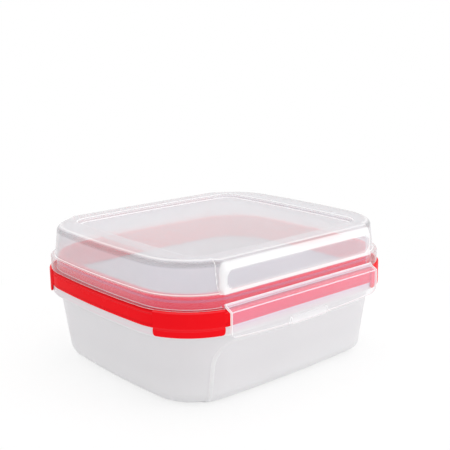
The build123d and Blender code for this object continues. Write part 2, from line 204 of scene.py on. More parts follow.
# %% From a grid to a mesh
def skin(name, grid, close_rows=False, ends=None, flip=False, pale=0.0, plain=0.0, marks=None):
    """Makes a mesh from a grid of points (rows, columns, 3) in millimetres.

    Columns always close on themselves. close_rows joins the last row to the first, for
    a ring. ends closes the first and last row: "fan" to their middle points, "plane"
    with one flat face each. The attribute edge is a painted highlight, where the plastic
    is made pale: it rises from 0 to 1 as the bending radius falls from 4 to 1.2 mm, less
    where plain is more than 0, or is pale, a further painted highlight, if that is more.
    marks holds further point attributes by name.
    """
    rows, cols = grid.shape[:2]
    folded = smoothstep(tightness(grid, close_rows), 0.25, 0.85) * (1 - plain)
    values = {"edge": np.maximum(folded, pale), **(marks or {})}
    values = {key: np.broadcast_to(value, (rows, cols)).reshape(-1)
              for key, value in values.items()}
    points = grid.reshape(-1, 3)
    r = np.arange(rows if close_rows else rows - 1)[:, None]
    c = np.arange(cols)[None, :]
    a = r * cols + c
    b = r * cols + (c + 1) % cols
    d = ((r + 1) % rows) * cols + c
    e = ((r + 1) % rows) * cols + (c + 1) % cols
    faces = np.stack([a, b, e, d], axis=-1).reshape(-1, 4).tolist()
    ring = np.arange(cols)
    nxt = (ring + 1) % cols
    base = (rows - 1) * cols
    if ends == "fan":
        first, last = len(points), len(points) + 1
        points = np.concatenate([points, [grid[0].mean(axis=0), grid[-1].mean(axis=0)]])
        values = {key: np.concatenate([value, value[[0, -1]]]) for key, value in values.items()}
        faces += np.stack([nxt, ring, np.full(cols, first)], axis=1).tolist()
        faces += np.stack([base + ring, base + nxt, np.full(cols, last)], axis=1).tolist()
    if ends == "plane":
        faces += [ring[::-1].tolist(), (base + ring).tolist()]
    if flip:
        faces = [f[::-1] for f in faces]
    mesh = bpy.data.meshes.new(name)
    mesh.from_pydata((points * MM).tolist(), [], faces)
    smooth = np.ones(len(mesh.polygons), bool)
    if ends == "plane":
        smooth[-2:] = False
    mesh.polygons.foreach_set("use_smooth", smooth)
    for key, value in values.items():
        mark = mesh.attributes.new(key, "FLOAT", "POINT")
        mark.data.foreach_set("value", value.astype(np.float32))
    mesh.update()
    piece = bpy.data.objects.new(name, mesh)
    bpy.context.scene.collection.objects.link(piece)
    return piece


# %% Measuring a piece
def volume_of(piece):
    """Enclosed volume in cubic centimetres, the sum of p0 . (p1 x p2) / 6 over the
    triangles. It comes out positive when the faces point outwards."""
    mesh = piece.data
    mesh.calc_loop_triangles()
    tris = np.zeros(len(mesh.loop_triangles) * 3, np.int32)
    mesh.loop_triangles.foreach_get("vertices", tris)
    co = np.zeros(len(mesh.vertices) * 3)
    mesh.vertices.foreach_get("co", co)
    p = co.reshape(-1, 3)[tris.reshape(-1, 3)]
    return float(np.einsum("ij,ij->i", p[:, 0], np.cross(p[:, 1], p[:, 2])).sum() / 6 * 1e6)


def report(piece):
    """Prints a piece's enclosed volume and face count."""
    print(piece.name, "volume cm3:", round(volume_of(piece), 1), "faces:", len(piece.data.polygons))


# %% Small helpers for rows and grids
def smoothstep(t, low, high):
    """Rises smoothly from 0 at low to 1 at high: s^2 (3 - 2 s)."""
    s = np.clip((t - low) / (high - low), 0, 1)
    return s * s * (3 - 2 * s)


def with_height(xy, z):
    """Adds the height z of each row to its x, y points."""
    height = np.broadcast_to(np.reshape(z, (-1, 1, 1)), xy.shape[:2] + (1,))
    return np.concatenate([xy, height], axis=2)


def clamp_front(xy, limit):
    """Cuts the rows flat at |y| = limit, as under the flaps."""
    xy = xy.copy()
    xy[..., 1] = np.clip(xy[..., 1], -limit, limit)
    return xy


def towards_middle(row, scales):
    """Copies of a row drawn towards the middle, for a flat floor: x and y times each
    scale, with z kept."""
    return row[None] * np.array(scales)[:, None, None] ** np.array([1, 1, 0])


def past_rounded(dx, dz, radius):
    """Distance outside a rounded corner, negative inside, from the distances dx and dz
    past its centre: the length of their positive parts, plus the larger of the two
    where both are negative, less the radius."""
    outer = np.hypot(np.maximum(dx, 0), np.maximum(dz, 0))
    return outer + np.minimum(np.maximum(dx, dz), 0) - radius


# %% [markdown]
# ## Plastics
# Five finishes are needed: one clear plastic for the lid and one for the flaps, milky,
# glossy red and the soft gasket. Moulded plastic is never quite even, so each finish has
# a faint large-scale change of tone, a fine change of roughness and a very shallow
# ripple in its surface, all on Object coordinates so that they stay with the piece.


# %% A helper for the finishes
NOISE_LOW, NOISE_HIGH = 0.3, 0.7  # nearly all of a noise's values lie between these


def finish(name, color, tone, roughness, rough_change, ripple, ripple_scale, settings):
    """A Principled surface whose colour and roughness wander a little.

    Colour is a noise-driven mix between color * (1 - tone) and color. Roughness runs
    between roughness and roughness + rough_change. Bump comes from a finer noise.
    """
    mat = bpy.data.materials.new(name)
    mat.use_nodes = True
    nodes, links = mat.node_tree.nodes, mat.node_tree.links
    surface = nodes["Principled BSDF"]
    where = nodes.new("ShaderNodeTexCoord")
    broad = nodes.new("ShaderNodeTexNoise")
    broad.inputs["Scale"].default_value = 14.0
    broad.inputs["Detail"].default_value = 3.0
    fine = nodes.new("ShaderNodeTexNoise")
    fine.inputs["Scale"].default_value = ripple_scale
    fine.inputs["Detail"].default_value = 4.0
    links.new(where.outputs["Object"], broad.inputs["Vector"])
    links.new(where.outputs["Object"], fine.inputs["Vector"])
    ramp = nodes.new("ShaderNodeValToRGB")
    ramp.color_ramp.elements[0].position = NOISE_LOW
    ramp.color_ramp.elements[0].color = (*[c * (1 - tone) for c in color], 1)
    ramp.color_ramp.elements[1].position = NOISE_HIGH
    ramp.color_ramp.elements[1].color = (*color, 1)
    links.new(broad.outputs["Fac"], ramp.inputs["Fac"])
    links.new(ramp.outputs["Color"], surface.inputs["Base Color"])
    spread = nodes.new("ShaderNodeMapRange")
    spread.inputs["From Min"].default_value = NOISE_LOW
    spread.inputs["From Max"].default_value = NOISE_HIGH
    spread.inputs["To Min"].default_value = roughness
    spread.inputs["To Max"].default_value = roughness + rough_change
    links.new(fine.outputs["Fac"], spread.inputs["Value"])
    links.new(spread.outputs["Result"], surface.inputs["Roughness"])
    bump = nodes.new("ShaderNodeBump")
    bump.inputs["Strength"].default_value = 0.3
    bump.inputs["Distance"].default_value = ripple
    links.new(fine.outputs["Fac"], bump.inputs["Height"])
    links.new(bump.outputs["Normal"], surface.inputs["Normal"])
    for socket, value in settings.items():
        surface.inputs[socket].default_value = value
    return mat


# %% [markdown]
# Moulded plastic catches the light where it folds, and that highlight is painted on as a
# pale colour. Clear plastic is a faint white veil that thickens as it turns away from the
# eye. It could be shaded as glass, which bends and darkens what is behind it. Here it is
# the shader's alpha instead, so that the share that it covers is chosen directly. What
# belongs to a place on the piece, painted light and shade among it, is a point attribute
# of its mesh, from 0 to 1:
#
# - edge: tight folds and lips, where a painted highlight makes them pale
# - haze: how far the clear plastic is from the red behind it; where it is low, the veil
#   keeps a painted pink glow of the red
# - shade: the painted dark line under the lid's rim
# - painted_band_shade: the painted shade of the dark lines on the red band
# - painted_red_reflection: painted pink stripes of red reflected on the tub's rim


# %% Tints by attribute
def amount_of(nodes, links, attribute, low, high):
    """A socket that runs from low to high as an attribute of the piece runs from 0 to 1."""
    value = nodes.new("ShaderNodeAttribute")
    value.attribute_name = attribute
    amount = nodes.new("ShaderNodeMapRange")
    amount.inputs["To Min"].default_value = low
    amount.inputs["To Max"].default_value = high
    links.new(value.outputs["Fac"], amount.inputs["Value"])
    return amount.outputs["Result"]


def tint_by(mat, attribute, color, share):
    """Mixes color over the surface's colour, share of it where the attribute is 1."""
    nodes, links = mat.node_tree.nodes, mat.node_tree.links
    base = nodes["Principled BSDF"].inputs["Base Color"]
    mix = nodes.new("ShaderNodeMix")
    mix.data_type = "RGBA"
    factor, under, over = mix.inputs[0], mix.inputs[6], mix.inputs[7]
    over.default_value = (*color, 1)
    links.new(base.links[0].from_socket, under)
    links.new(amount_of(nodes, links, attribute, 0.0, share), factor)
    links.new(mix.outputs[2], base)


# %% The veil
FULL_COLOUR_AT = 0.25  # the haze at which the veil has all of its far colour
TURN_START, TURN_END = 0.25, 0.65  # slant over which it turns to the glancing colour
LIGHT_COVER = 0.25  # share of the veil that holds back light on its way elsewhere


def veil(mat, near, far, far_color, power, glancing_color, edge_share):
    """Makes a surface see-through, with a thin veil of the surface's colour.

    Face on, the veil covers the least of what is behind it: the share near where haze
    is 0, and the share far where haze is 1. Turned away it covers more, by
    least + (1 - least) * facing^power, where facing runs from 0 face on to 1 edge on,
    and its colour turns to glancing_color. Pale edges cover at least edge_share. Thin
    plastic passes most of the light that it scatters, so for light on its way to other
    surfaces the veil covers only LIGHT_COVER of that.
    """
    nodes, links = mat.node_tree.nodes, mat.node_tree.links
    angle = nodes.new("ShaderNodeLayerWeight")
    angle.inputs["Blend"].default_value = 0.5
    steep = nodes.new("ShaderNodeMath")
    steep.operation = "POWER"
    steep.inputs[1].default_value = power
    cover = nodes.new("ShaderNodeMapRange")
    links.new(amount_of(nodes, links, "haze", near, far), cover.inputs["To Min"])
    most = nodes.new("ShaderNodeMath")
    most.operation = "MAXIMUM"
    base = nodes["Principled BSDF"].inputs["Base Color"]
    slant = nodes.new("ShaderNodeMapRange")
    slant.inputs["From Min"].default_value = TURN_START
    slant.inputs["From Max"].default_value = TURN_END
    turning = nodes.new("ShaderNodeMix")
    turning.data_type = "RGBA"
    turning.inputs[7].default_value = (*glancing_color, 1)
    links.new(angle.outputs["Facing"], slant.inputs["Value"])
    links.new(slant.outputs["Result"], turning.inputs[0])
    tint = nodes.new("ShaderNodeMix")
    tint.data_type = "RGBA"
    tint.inputs[7].default_value = (*far_color, 1)
    links.new(amount_of(nodes, links, "haze", 0.0, 1 / FULL_COLOUR_AT), tint.inputs[0])
    links.new(base.links[0].from_socket, tint.inputs[6])
    links.new(tint.outputs[2], turning.inputs[6])
    links.new(turning.outputs[2], base)
    links.new(angle.outputs["Facing"], steep.inputs[0])
    links.new(steep.outputs[0], cover.inputs["Value"])
    links.new(cover.outputs["Result"], most.inputs[0])
    links.new(amount_of(nodes, links, "edge", 0.0, edge_share), most.inputs[1])
    path = nodes.new("ShaderNodeLightPath")
    lit = nodes.new("ShaderNodeMath")
    lit.operation = "MAXIMUM"
    passing = nodes.new("ShaderNodeMapRange")
    passing.inputs["To Min"].default_value = 1.0
    passing.inputs["To Max"].default_value = LIGHT_COVER
    through = nodes.new("ShaderNodeMath")
    through.operation = "MULTIPLY"
    links.new(path.outputs["Is Shadow Ray"], lit.inputs[0])
    links.new(path.outputs["Is Diffuse Ray"], lit.inputs[1])
    links.new(lit.outputs[0], passing.inputs["Value"])
    links.new(most.outputs[0], through.inputs[0])
    links.new(passing.outputs["Result"], through.inputs[1])
    links.new(through.outputs[0], nodes["Principled BSDF"].inputs["Alpha"])


# %% The finishes
MOULDED_IOR = 1.49
RIPPLE = 0.00003  # metres
# Painted highlight: the pale colour that folds and lips of clear plastic take on
PAINTED_FOLD_HIGHLIGHT = (0.98, 0.98, 0.99)
VEIL_POWER = 3.2

# The pink of this colour is a painted glow of the red frame close behind; where the haze is more,
# it turns to far_color
clear = finish("clear_moulded_plastic", (1.0, 0.70, 0.94), tone=0.03, roughness=0.07,
               rough_change=0.06, ripple=RIPPLE, ripple_scale=60.0,
               settings={"IOR": MOULDED_IOR})
veil(clear, near=0.10, far=0.40, far_color=(0.79, 0.79, 0.86), power=VEIL_POWER,
     glancing_color=(0.70, 0.70, 0.73), edge_share=0.75)
# Painted shade: the dark line under the lid's rim
tint_by(clear, "shade", (0.36, 0.36, 0.38), 0.9)
tint_by(clear, "edge", PAINTED_FOLD_HIGHLIGHT, 1.0)

# The pink is a painted glow of the red band behind the flap; below the band it turns to far_color
flap_clear = finish("clear_flap_plastic", (0.95, 0.72, 0.98), tone=0.03, roughness=0.05,
                    rough_change=0.06, ripple=RIPPLE, ripple_scale=60.0,
                    settings={"IOR": MOULDED_IOR})
veil(flap_clear, near=0.17, far=0.17, far_color=(0.93, 0.91, 0.94), power=VEIL_POWER,
     glancing_color=(0.80, 0.80, 0.82), edge_share=0.80)
tint_by(flap_clear, "edge", PAINTED_FOLD_HIGHLIGHT, 1.0)

milky = finish("milky_moulded_plastic", (0.86, 0.85, 0.87), tone=0.03, roughness=0.30,
               rough_change=0.12, ripple=RIPPLE, ripple_scale=60.0,
               settings={"Transmission Weight": 0.15, "IOR": MOULDED_IOR})
# Painted reflection of the red frame, in stripes on the tub's rim
tint_by(milky, "painted_red_reflection", (0.92, 0.62, 0.70), 0.35)
# Painted highlight on the tub's folds, panel edges and foot, and painted glow low on its wall
tint_by(milky, "edge", (0.99, 0.99, 1.0), 1.0)

red = finish("glossy_red_plastic", (0.90, 0.008, 0.014), tone=0.04, roughness=0.22,
             rough_change=0.08, ripple=RIPPLE, ripple_scale=50.0,
             settings={"IOR": 1.2, "Specular IOR Level": 0.1})
# Painted highlight: a lighter red on the frame's folds
tint_by(red, "edge", (0.95, 0.10, 0.12), 0.35)
# Painted shade: the dark lines on the red band
tint_by(red, "painted_band_shade", (0.55, 0.002, 0.006), 1.0)

rubber = finish("soft_red_gasket", (0.72, 0.08, 0.14), tone=0.10, roughness=0.45,
                rough_change=0.15, ripple=0.00004, ripple_scale=90.0,
                settings={"IOR": 1.42, "Specular IOR Level": 0.3})
print("finishes:", [m.name for m in (clear, flap_clear, milky, red, rubber)])

# %% [markdown]
# ## The tub
# The tub is one thin milky shell: a flat bottom, a large radius all round, a drafted
# wall, an outward rim and a short upstand that enters the red frame. Outside and
# inside are one profile, from the middle of the underside out, up, over and back down
# to the middle of the floor. The raised panels on the front and back are a push
# outwards of both skins inside a rounded rectangle.

# %% Tub profile
def densify(profile, longest):
    """Splits every leg of a profile that is longer than longest into equal parts.
    longest is one number, or one for each leg."""
    out = [profile[:1]]
    limits = np.broadcast_to(longest, len(profile) - 1)
    for a, b, limit in zip(profile[:-1], profile[1:], limits):
        n = max(1, int(math.ceil(np.linalg.norm(b - a) / limit)))
        out.append(a + (b - a) * (np.arange(1, n + 1) / n)[:, None])
    return np.concatenate(out)


wall_slope = math.tan(math.radians(7.6))
RIM_UNDERSIDE = 46.7
UPSTAND_TOP = 57.0
FLOOR_INSIDE = 2.0
tub_profile = rounded([
    (30.0, 0.0, 0),
    (12.0, 0.0, 10.0),
    (12.0 - RIM_UNDERSIDE * wall_slope, RIM_UNDERSIDE, 0.5),
    (0.3, RIM_UNDERSIDE, 2.7),
    (0.3, RIM_TOP, 0.5),
    (4.7, RIM_TOP, 0.2),
    (4.7, UPSTAND_TOP, 0.35),
    (14.0 - UPSTAND_TOP * wall_slope, UPSTAND_TOP, 0.35),
    (14.0 - FLOOR_INSIDE * wall_slope, FLOOR_INSIDE, 8.0),
    (32.0, FLOOR_INSIDE, 0),
], steps=5)
outer_leg = np.arange(len(tub_profile) - 1) < np.argmax(tub_profile[:, 1] > RIM_TOP - 0.1)
raised_leg = tub_profile[1:, 1] > 0.01
tub_profile = densify(tub_profile, np.where(outer_leg & raised_leg, 0.85, 3.2))
tub_inset, tub_height = tub_profile[:, 0], tub_profile[:, 1]
inside = np.arange(len(tub_profile)) > np.argmax(tub_height > UPSTAND_TOP - 0.01)
print("rows of the tub:", len(tub_profile), "of which inside:", int(inside.sum()))

# %% [markdown]
# The raised panel is 1.5 mm proud and its edge is soft. A thin ridge runs round the foot.
# A painted highlight, a pale line, is drawn along both with the attribute edge, and the
# lowest part of the wall is painted a little paler in the same way, as painted light from
# the floor.

# %% Raised panels and the foot's ridge
PANEL_PROUD = 1.5
PANEL_OUTSIDE = (68.2, 41.0, 14.0)  # half width, top and corner radius
PANEL_INSIDE = (66.2, 39.0, 12.0)
RIDGE_PROUD, RIDGE_HEIGHT, RIDGE_SPREAD = 0.3, 3.0, 0.7


def beyond_panel(x, z, half_width, top, radius):
    """Distance outside the raised panel, a rectangle on the floor with round upper
    corners. It is negative inside."""
    return past_rounded(np.abs(x) - (half_width - radius), z - (top - radius), radius)


ridge_shape = np.exp(-((tub_height - RIDGE_HEIGHT) / RIDGE_SPREAD) ** 2)
foot_ridge = RIDGE_PROUD * ridge_shape * (~inside)
tub_xy = inset_rows(outline, tub_inset - foot_ridge)
tub_z = np.broadcast_to(tub_profile[:, 1:2], tub_xy.shape[:2])
beyond = np.where(inside[:, None], beyond_panel(tub_xy[..., 0], tub_z, *PANEL_INSIDE),
                  beyond_panel(tub_xy[..., 0], tub_z, *PANEL_OUTSIDE))
faces_front = np.abs(outline["outward"][:, 1]) > 0.75
on_wall = (1 - smoothstep(tub_inset, 22, 29))[:, None]
push = PANEL_PROUD * (1 - smoothstep(beyond, -0.8, 0.8)) * faces_front * on_wall

# %% Painted highlights and painted floor glow of the tub
outside_wall = (~inside & (tub_height > 1.0))[:, None]
painted_panel_highlight = np.exp(-(beyond / 0.6) ** 2) * faces_front * outside_wall
painted_foot_highlight = foot_ridge / RIDGE_PROUD
# Painted light: the lowest part of the outside wall is paler, as if lit from the floor
painted_floor_glow = 0.45 * (1 - smoothstep(tub_height, 2.0, 26.0)) * (~inside)
tub_painted_light = np.maximum(painted_panel_highlight, np.maximum(painted_foot_highlight, painted_floor_glow)[:, None])
tub_painted_light = np.pad(tub_painted_light, ((2, 2), (0, 0)))  # the two rows on each floor stay plain

# %% Tub skin, with painted pink stripes of reflected red on its rim
tub_xy = tub_xy + push[..., None] * outline["outward"]
rim_row = (tub_inset < 3.4) & (tub_height > 46)
tub_xy[rim_row] = clamp_front(tub_xy[rim_row], RIM_FLAT)
tub_grid = with_height(tub_xy, tub_height)
tub_grid = np.concatenate([
    towards_middle(tub_grid[0], (0.3, 0.7)), tub_grid, towards_middle(tub_grid[-1], (0.7, 0.3)),
])
# Painted reflection: faint pink stripes of the red frame on the tub's rim
STRIPE_TOP, STRIPE_PITCH = 52.0, 2.4
row_z = tub_grid[:, :1, 2]
stripes = 0.65 + 0.35 * np.cos((row_z - STRIPE_TOP) * 2 * math.pi / STRIPE_PITCH)
painted_red_reflection = ((row_z > 48.5) & (row_z < 52.9)) * stripes
tub = skin("milky_tub", tub_grid, ends="fan", pale=tub_painted_light, marks={"painted_red_reflection": painted_red_reflection})
report(tub)

# %% [markdown]
# ## The red frame
# The frame is a ring: an outer band with a thin groove below its top, a collar that
# stands up inside the lid with a seat for its bead, and a channel underneath that drops
# over the tub's upstand. A closed profile carried round the outline gives all of it. Two
# dark lines on the band are painted shade on its colour and not shape: a painted shadow
# close under the lid's skirt and a fainter painted shade low down.

# %% Red frame
ring_profile = rounded([
    (2.0, RIM_TOP, 0),
    (0.0, RIM_TOP, 0.45),
    (0.0, 61.7, 0.12),
    (0.5, 61.9, 0.12),
    (0.5, 62.25, 0.12),
    (0.0, 62.4, 0.12),
    (0.0, BAND_TOP, 0.45),
    (4.8, BAND_TOP, 0.25),
    (4.8, 68.7, 0.1),
    (6.0, 68.7, 0.1),
    (6.0, 70.3, 0.1),
    (4.8, 70.3, 0.1),
    (4.8, COLLAR_TOP, 0.8),
    (8.5, COLLAR_TOP, 0.8),
    (8.5, 56.0, 0.4),
    (6.75, 56.0, 0.3),
    (6.75, 58.2, 0.1),
    (4.3, 58.2, 0.1),
    (4.3, RIM_TOP, 0.2),
    (2.02, RIM_TOP, 0),
], steps=5)
ring_profile = densify(ring_profile, np.where(ring_profile[1:, 0] < 0.6, 0.6, 3.0))
ring_z = ring_profile[:, 1]
ring_xy = inset_rows(outline, ring_profile[:, 0])
on_band = (ring_z < BAND_TOP + 0.1)[:, None, None]
ring_xy = np.where(on_band, clamp_front(ring_xy, BAND_FLAT), ring_xy)
# Painted shade on the band: a painted shadow under the lid's skirt and a fainter one low down
painted_skirt_shadow = np.exp(-((ring_z - 64.1) / 0.5) ** 2)
painted_low_shade = 0.4 * np.exp(-((ring_z - 55.2) / 0.6) ** 2)
painted_band_shade = (painted_skirt_shadow + painted_low_shade) * (ring_profile[:, 0] < 0.6)
ring = skin("red_frame", with_height(ring_xy, ring_z), close_rows=True,
            marks={"painted_band_shade": painted_band_shade[:, None]})
report(ring)

# %% [markdown]
# Each corner of the frame carries a lift tab: the band's strip stands a little proud
# there and hangs down over the tub's rim, with rounded lower ends. It is a small plate
# bent round the corner, so its section is carried along the corner's arc.

# %% Lift tabs
TAB_FOOT = 48.9
TAB_END_ARC = 2.4
tab_section = rounded([
    (0.4, 64.5, 0),
    (-1.3, 64.5, 0.8),
    (-1.3, 54.4, 0.6),
    (-1.0, 53.7, 0.4),
    (-1.3, 53.0, 0.6),
    (-1.3, TAB_FOOT, 0.55),
    (-0.1, TAB_FOOT, 0.4),
    (-0.1, 53.6, 0.1),
    (1.0, 53.6, 0.1),
    (1.0, 64.5, 0.1),
    (0.42, 64.5, 0),
], steps=4)


def corner_tab(name, sign_x, sign_y):
    """A lift tab: its section (inset, height) is turned round the corner, from 13.5 to 70
    degrees off the front. At distance s from an end, where s is less than the arc's
    radius R, the foot rises by R - sqrt(R^2 - (R - s)^2)."""
    turn = np.radians(np.concatenate([
        np.linspace(13.5, 17.0, 12), np.linspace(17.5, 66.0, 50), np.linspace(66.5, 70.0, 12),
    ]))
    along = (BAND[2] + 1.0) * np.minimum(turn - turn[0], turn[-1] - turn)
    short = np.maximum(TAB_END_ARC - along, 0)
    lift = TAB_END_ARC - np.sqrt(np.maximum(TAB_END_ARC**2 - short**2, 0))
    radius = BAND[2] - tab_section[:, 0]
    z = np.maximum(tab_section[:, 1][None, :], (TAB_FOOT + lift)[:, None])
    x = corner_x + radius[None, :] * np.sin(turn)[:, None]
    y = corner_y + radius[None, :] * np.cos(turn)[:, None]
    grid = np.stack([sign_x * x, sign_y * y, z], axis=2)
    return skin(name, grid, ends="plane", flip=sign_x * sign_y > 0)


tabs = [
    corner_tab("lift_tab_front_left", -1, -1),
    corner_tab("lift_tab_front_right", 1, -1),
    corner_tab("lift_tab_rear_left", -1, 1),
    corner_tab("lift_tab_rear_right", 1, 1),
]
for tab in tabs:
    report(tab)

# %% [markdown]
# ## The gaskets
# One soft ring lies in the channel of the frame and one bead runs round its collar,
# behind the lid's skirt, where it shows as a thin line. The hidden one keeps its CAD
# solid, and the bead gets a rounded section.

# %% Bead round the collar
bead_profile = rounded([
    (5.0, 68.75, 0),
    (4.3, 68.75, 0.7),
    (4.3, 70.25, 0.7),
    (5.95, 70.25, 0.2),
    (5.95, 68.75, 0.2),
    (5.02, 68.75, 0),
], steps=6)
bead_xy = inset_rows(outline, bead_profile[:, 0])
bead = skin("collar_bead", with_height(bead_xy, bead_profile[:, 1]), close_rows=True)
report(bead)

# %% [markdown]
# ## The lid
# The lid is a clear shell. From below, its outer skin is the skirt, a round shoulder, a
# drafted wall, a soft upper edge and a flat rim round a shallow recess. Along the front
# and back a raised hood pushes the wall out to a flat face. The hood is a second shape
# in plan, and the wall simply follows whichever of the two stands further out, with a
# small blend where they meet.

# %% Hood shape
RECESS = (76.5, 71.5, 13.0, 1.5)
recess = bowed_plan(*RECESS, corner_share, 100, 44)
CREST_DRAWN_BACK = 5.6  # how far in the last row of the flat top lies from the crest


def hood_face(z, cut):
    """Distance of the hood's face from the middle at height z: upright to 87, then
    leaning back in two rounded steps to the top. cut moves it inward."""
    line = rounded([
        (BAND_FLAT - cut, 60.0, 0),
        (BAND_FLAT - cut, 87.0 - cut, 4.0),
        (84.2 - cut, 92.0 - cut, 4.0),
        (81.3 - cut, LID_TOP - cut, 3.0),
        (70.0 - cut, LID_TOP - cut + 0.001, 0),
    ], steps=8)
    return np.interp(z, line[:, 1], line[:, 0])


def follow_hood(xy, z, cut, blend):
    """Pushes rows out to the hood: |y| becomes the smooth maximum of the wall's |y| and
    the hood's, ((a + b) + sqrt((a - b)^2 + blend^2)) / 2 near their meeting line. The
    hood is wider above its foot, and its ends are rounder there.
    The rows of the flat top are drawn back evenly from the hood's crest."""
    top = z > z.max() - 1e-6
    drawn_back = (np.cumsum(top) / max(top.sum(), 1) * top * CREST_DRAWN_BACK)[:, None]
    z = np.broadcast_to(np.reshape(z, (-1, 1)), xy.shape[:2])
    x, y = np.abs(xy[..., 0]), np.abs(xy[..., 1])
    low = smoothstep(z, 73.0, 78.0)
    half_width = 66.4 + 1.6 * low - cut
    radius = np.maximum(1.2 + 3.8 * low - cut, 1.0)
    into = np.clip(x - (half_width - radius), 0, radius)
    face = hood_face(z, cut) - drawn_back
    hood = face - (radius - np.sqrt(np.maximum(radius**2 - into**2, 0)))
    hood = hood - 4.0 * np.maximum(x - half_width, 0)
    joined = (y + hood + np.sqrt((y - hood) ** 2 + blend**2)) / 2
    joined = np.minimum(joined, np.maximum(y, face))
    front = (x < half_width + 6) & (y > 40)
    out = xy.copy()
    out[..., 1] = np.where(front, np.sign(xy[..., 1]) * joined, xy[..., 1])
    return out


# %% Lid skins
wall_foot, wall_top = 3.0, 3.0 + 20.2 * math.tan(math.radians(6.9))
outer_profile = densify(rounded([
    (3.0, BAND_TOP, 0),
    (0.0, BAND_TOP, 0.4),
    (0.0, SHOULDER, 3.2),
    (wall_foot, SHOULDER, 0.6),
    (wall_top, LID_TOP, 4.2),
    (13.0, LID_TOP, 0),
], steps=10), 1.2)
inner_profile = densify(rounded([
    (3.02, BAND_TOP, 0),
    (3.9, BAND_TOP, 0.3),
    (3.9, SHOULDER, 0.3),
    (wall_foot + 1.6, 74.1, 0.3),
    (wall_top + 1.5, CEILING, 2.8),
    (14.0, CEILING, 0),
], steps=8), 1.8)
recess_profile = rounded([
    (-1.6, LID_TOP, 0), (0.6, LID_TOP, 1.0), (1.9, RECESS_FLOOR, 1.1), (6.0, RECESS_FLOOR, 0),
], steps=6)
pan_profile = rounded([
    (-2.6, CEILING, 0), (-1.0, CEILING, 0.7), (0.3, PAN_FLOOR, 0.9), (4.4, PAN_FLOOR, 0),
], steps=5)
SHELL = 1.5  # the lid's thickness
HOOD_BLEND = 0.7


def lid_skin(profile, cut, flat):
    """Rows of one skin of the lid wall: the parallel outline, cut flat along the skirt,
    then pushed out to the hood."""
    xy = inset_rows(outline, profile[:, 0])
    xy = np.where((profile[:, 1] < 74.2)[:, None, None], clamp_front(xy, flat), xy)
    return with_height(follow_hood(xy, profile[:, 1], cut, HOOD_BLEND), profile[:, 1])


outer_wall = lid_skin(outer_profile, 0.0, BAND_FLAT)
inner_wall = lid_skin(inner_profile, SHELL, BAND_FLAT - SHELL)
recess_rows = with_height(inset_rows(recess, recess_profile[:, 0]), recess_profile[:, 1])
pan_rows = with_height(inset_rows(recess, pan_profile[:, 0]), pan_profile[:, 1])
lid_grid = np.concatenate([
    towards_middle(pan_rows[-1], (0.3, 0.7)),
    pan_rows[::-1],
    inner_wall[::-1],
    outer_wall,
    recess_rows,
    towards_middle(recess_rows[-1], (0.7, 0.3)),
])


# %% [markdown]
# Four things change over the lid. Each hood's face has a painted reflection of the lamps,
# a thick pale border round a clear window. The veil is thin over the red collar, full up
# the wall and thinner on top. A painted dark line of shade runs under the rim, where the
# plastic is seen edge on, and a painted highlight along the crest.

# %% The hood's painted reflection
HOOD_WINDOW = (63.5, 76.1, 87.4, 5.0)


def painted_hood_reflection(grid):
    """1 on the painted reflection, a thick pale border round each hood's face, and 0 in
    its clear window, a rectangle with round corners given by its half width, low, high
    and corner radius."""
    half_width, low, high, radius = HOOD_WINDOW
    x, y, z = np.abs(grid[..., 0]), np.abs(grid[..., 1]), grid[..., 2]
    dx = x - (half_width - radius)
    dz = np.abs(z - (low + high) / 2) - ((high - low) / 2 - radius)
    on_face = smoothstep(y, 82.0, 84.0) * (x < 68.2) * (z > 73.4)
    return on_face * smoothstep(past_rounded(dx, dz, radius), -0.5, 0.5)


# %% Inset and height of every row of the lid
RECESS_INSET = 14.0  # how far inside the lid's outline the recess starts
FLOOR_ROWS = [20.0, 20.0]  # the two rows on each floor, far enough in for every fade
pan_inset = np.concatenate([FLOOR_ROWS, pan_profile[::-1, 0] + RECESS_INSET])
recess_inset = np.concatenate([recess_profile[:, 0] + RECESS_INSET, FLOOR_ROWS])
lid_inset = np.concatenate([
    pan_inset, inner_profile[::-1, 0], outer_profile[:, 0], recess_inset,
])
lid_z = np.concatenate([
    [PAN_FLOOR] * 2, pan_profile[::-1, 1], inner_profile[::-1, 1], outer_profile[:, 1],
    recess_profile[:, 1], [RECESS_FLOOR] * 2,
])
outer_side = np.arange(len(lid_z)) >= len(pan_inset) + len(inner_profile)
print("rows of the lid:", len(lid_z), "of which outside:", int(outer_side.sum()))

# %% Marks of the lid, and its skin
on_shoulder = outer_side & (lid_z > SHOULDER - 0.02)
skirt_band = (lid_z > 66.0) & (lid_z < 80.0) & ~on_shoulder
thinner_on_top = 1 - 0.75 * smoothstep(lid_inset, wall_top + 0.8, wall_top + 3.4)
haze = smoothstep(lid_z, 73.2, 74.4) * thinner_on_top
# Painted shade: a dark line on the outer wall under the rim
under_rim = smoothstep(lid_z, 89.6, 90.6) * (1 - smoothstep(lid_z, 92.4, 93.4))
shade = outer_side * under_rim * (lid_inset < 12.0)
# Painted highlight: a pale line along the crest of the outer edge
before_flat = 1 - smoothstep(lid_inset, wall_top + 3.2, wall_top + 4.2)
painted_crest_highlight = 0.8 * outer_side * smoothstep(lid_z, 93.0, 93.5) * before_flat
lid = skin("clear_lid", lid_grid, ends="fan",
           pale=np.maximum(painted_hood_reflection(lid_grid), painted_crest_highlight[:, None]),
           plain=skirt_band[:, None], marks={"haze": haze[:, None], "shade": shade[:, None]})
report(lid)

# %% [markdown]
# ## The flaps
# A flap is a clear plate hung from a bead along its upper edge. Its section runs out
# over a short shoulder, down its face and a little inward to its lower edge. The
# section is a closed loop of points, and it is carried along the hinge line. Near the
# ends the plate stops short on an arc, which rounds the lower corners. The lower edge
# is bowed, lowest in the middle, where it swells into a thumb lip.

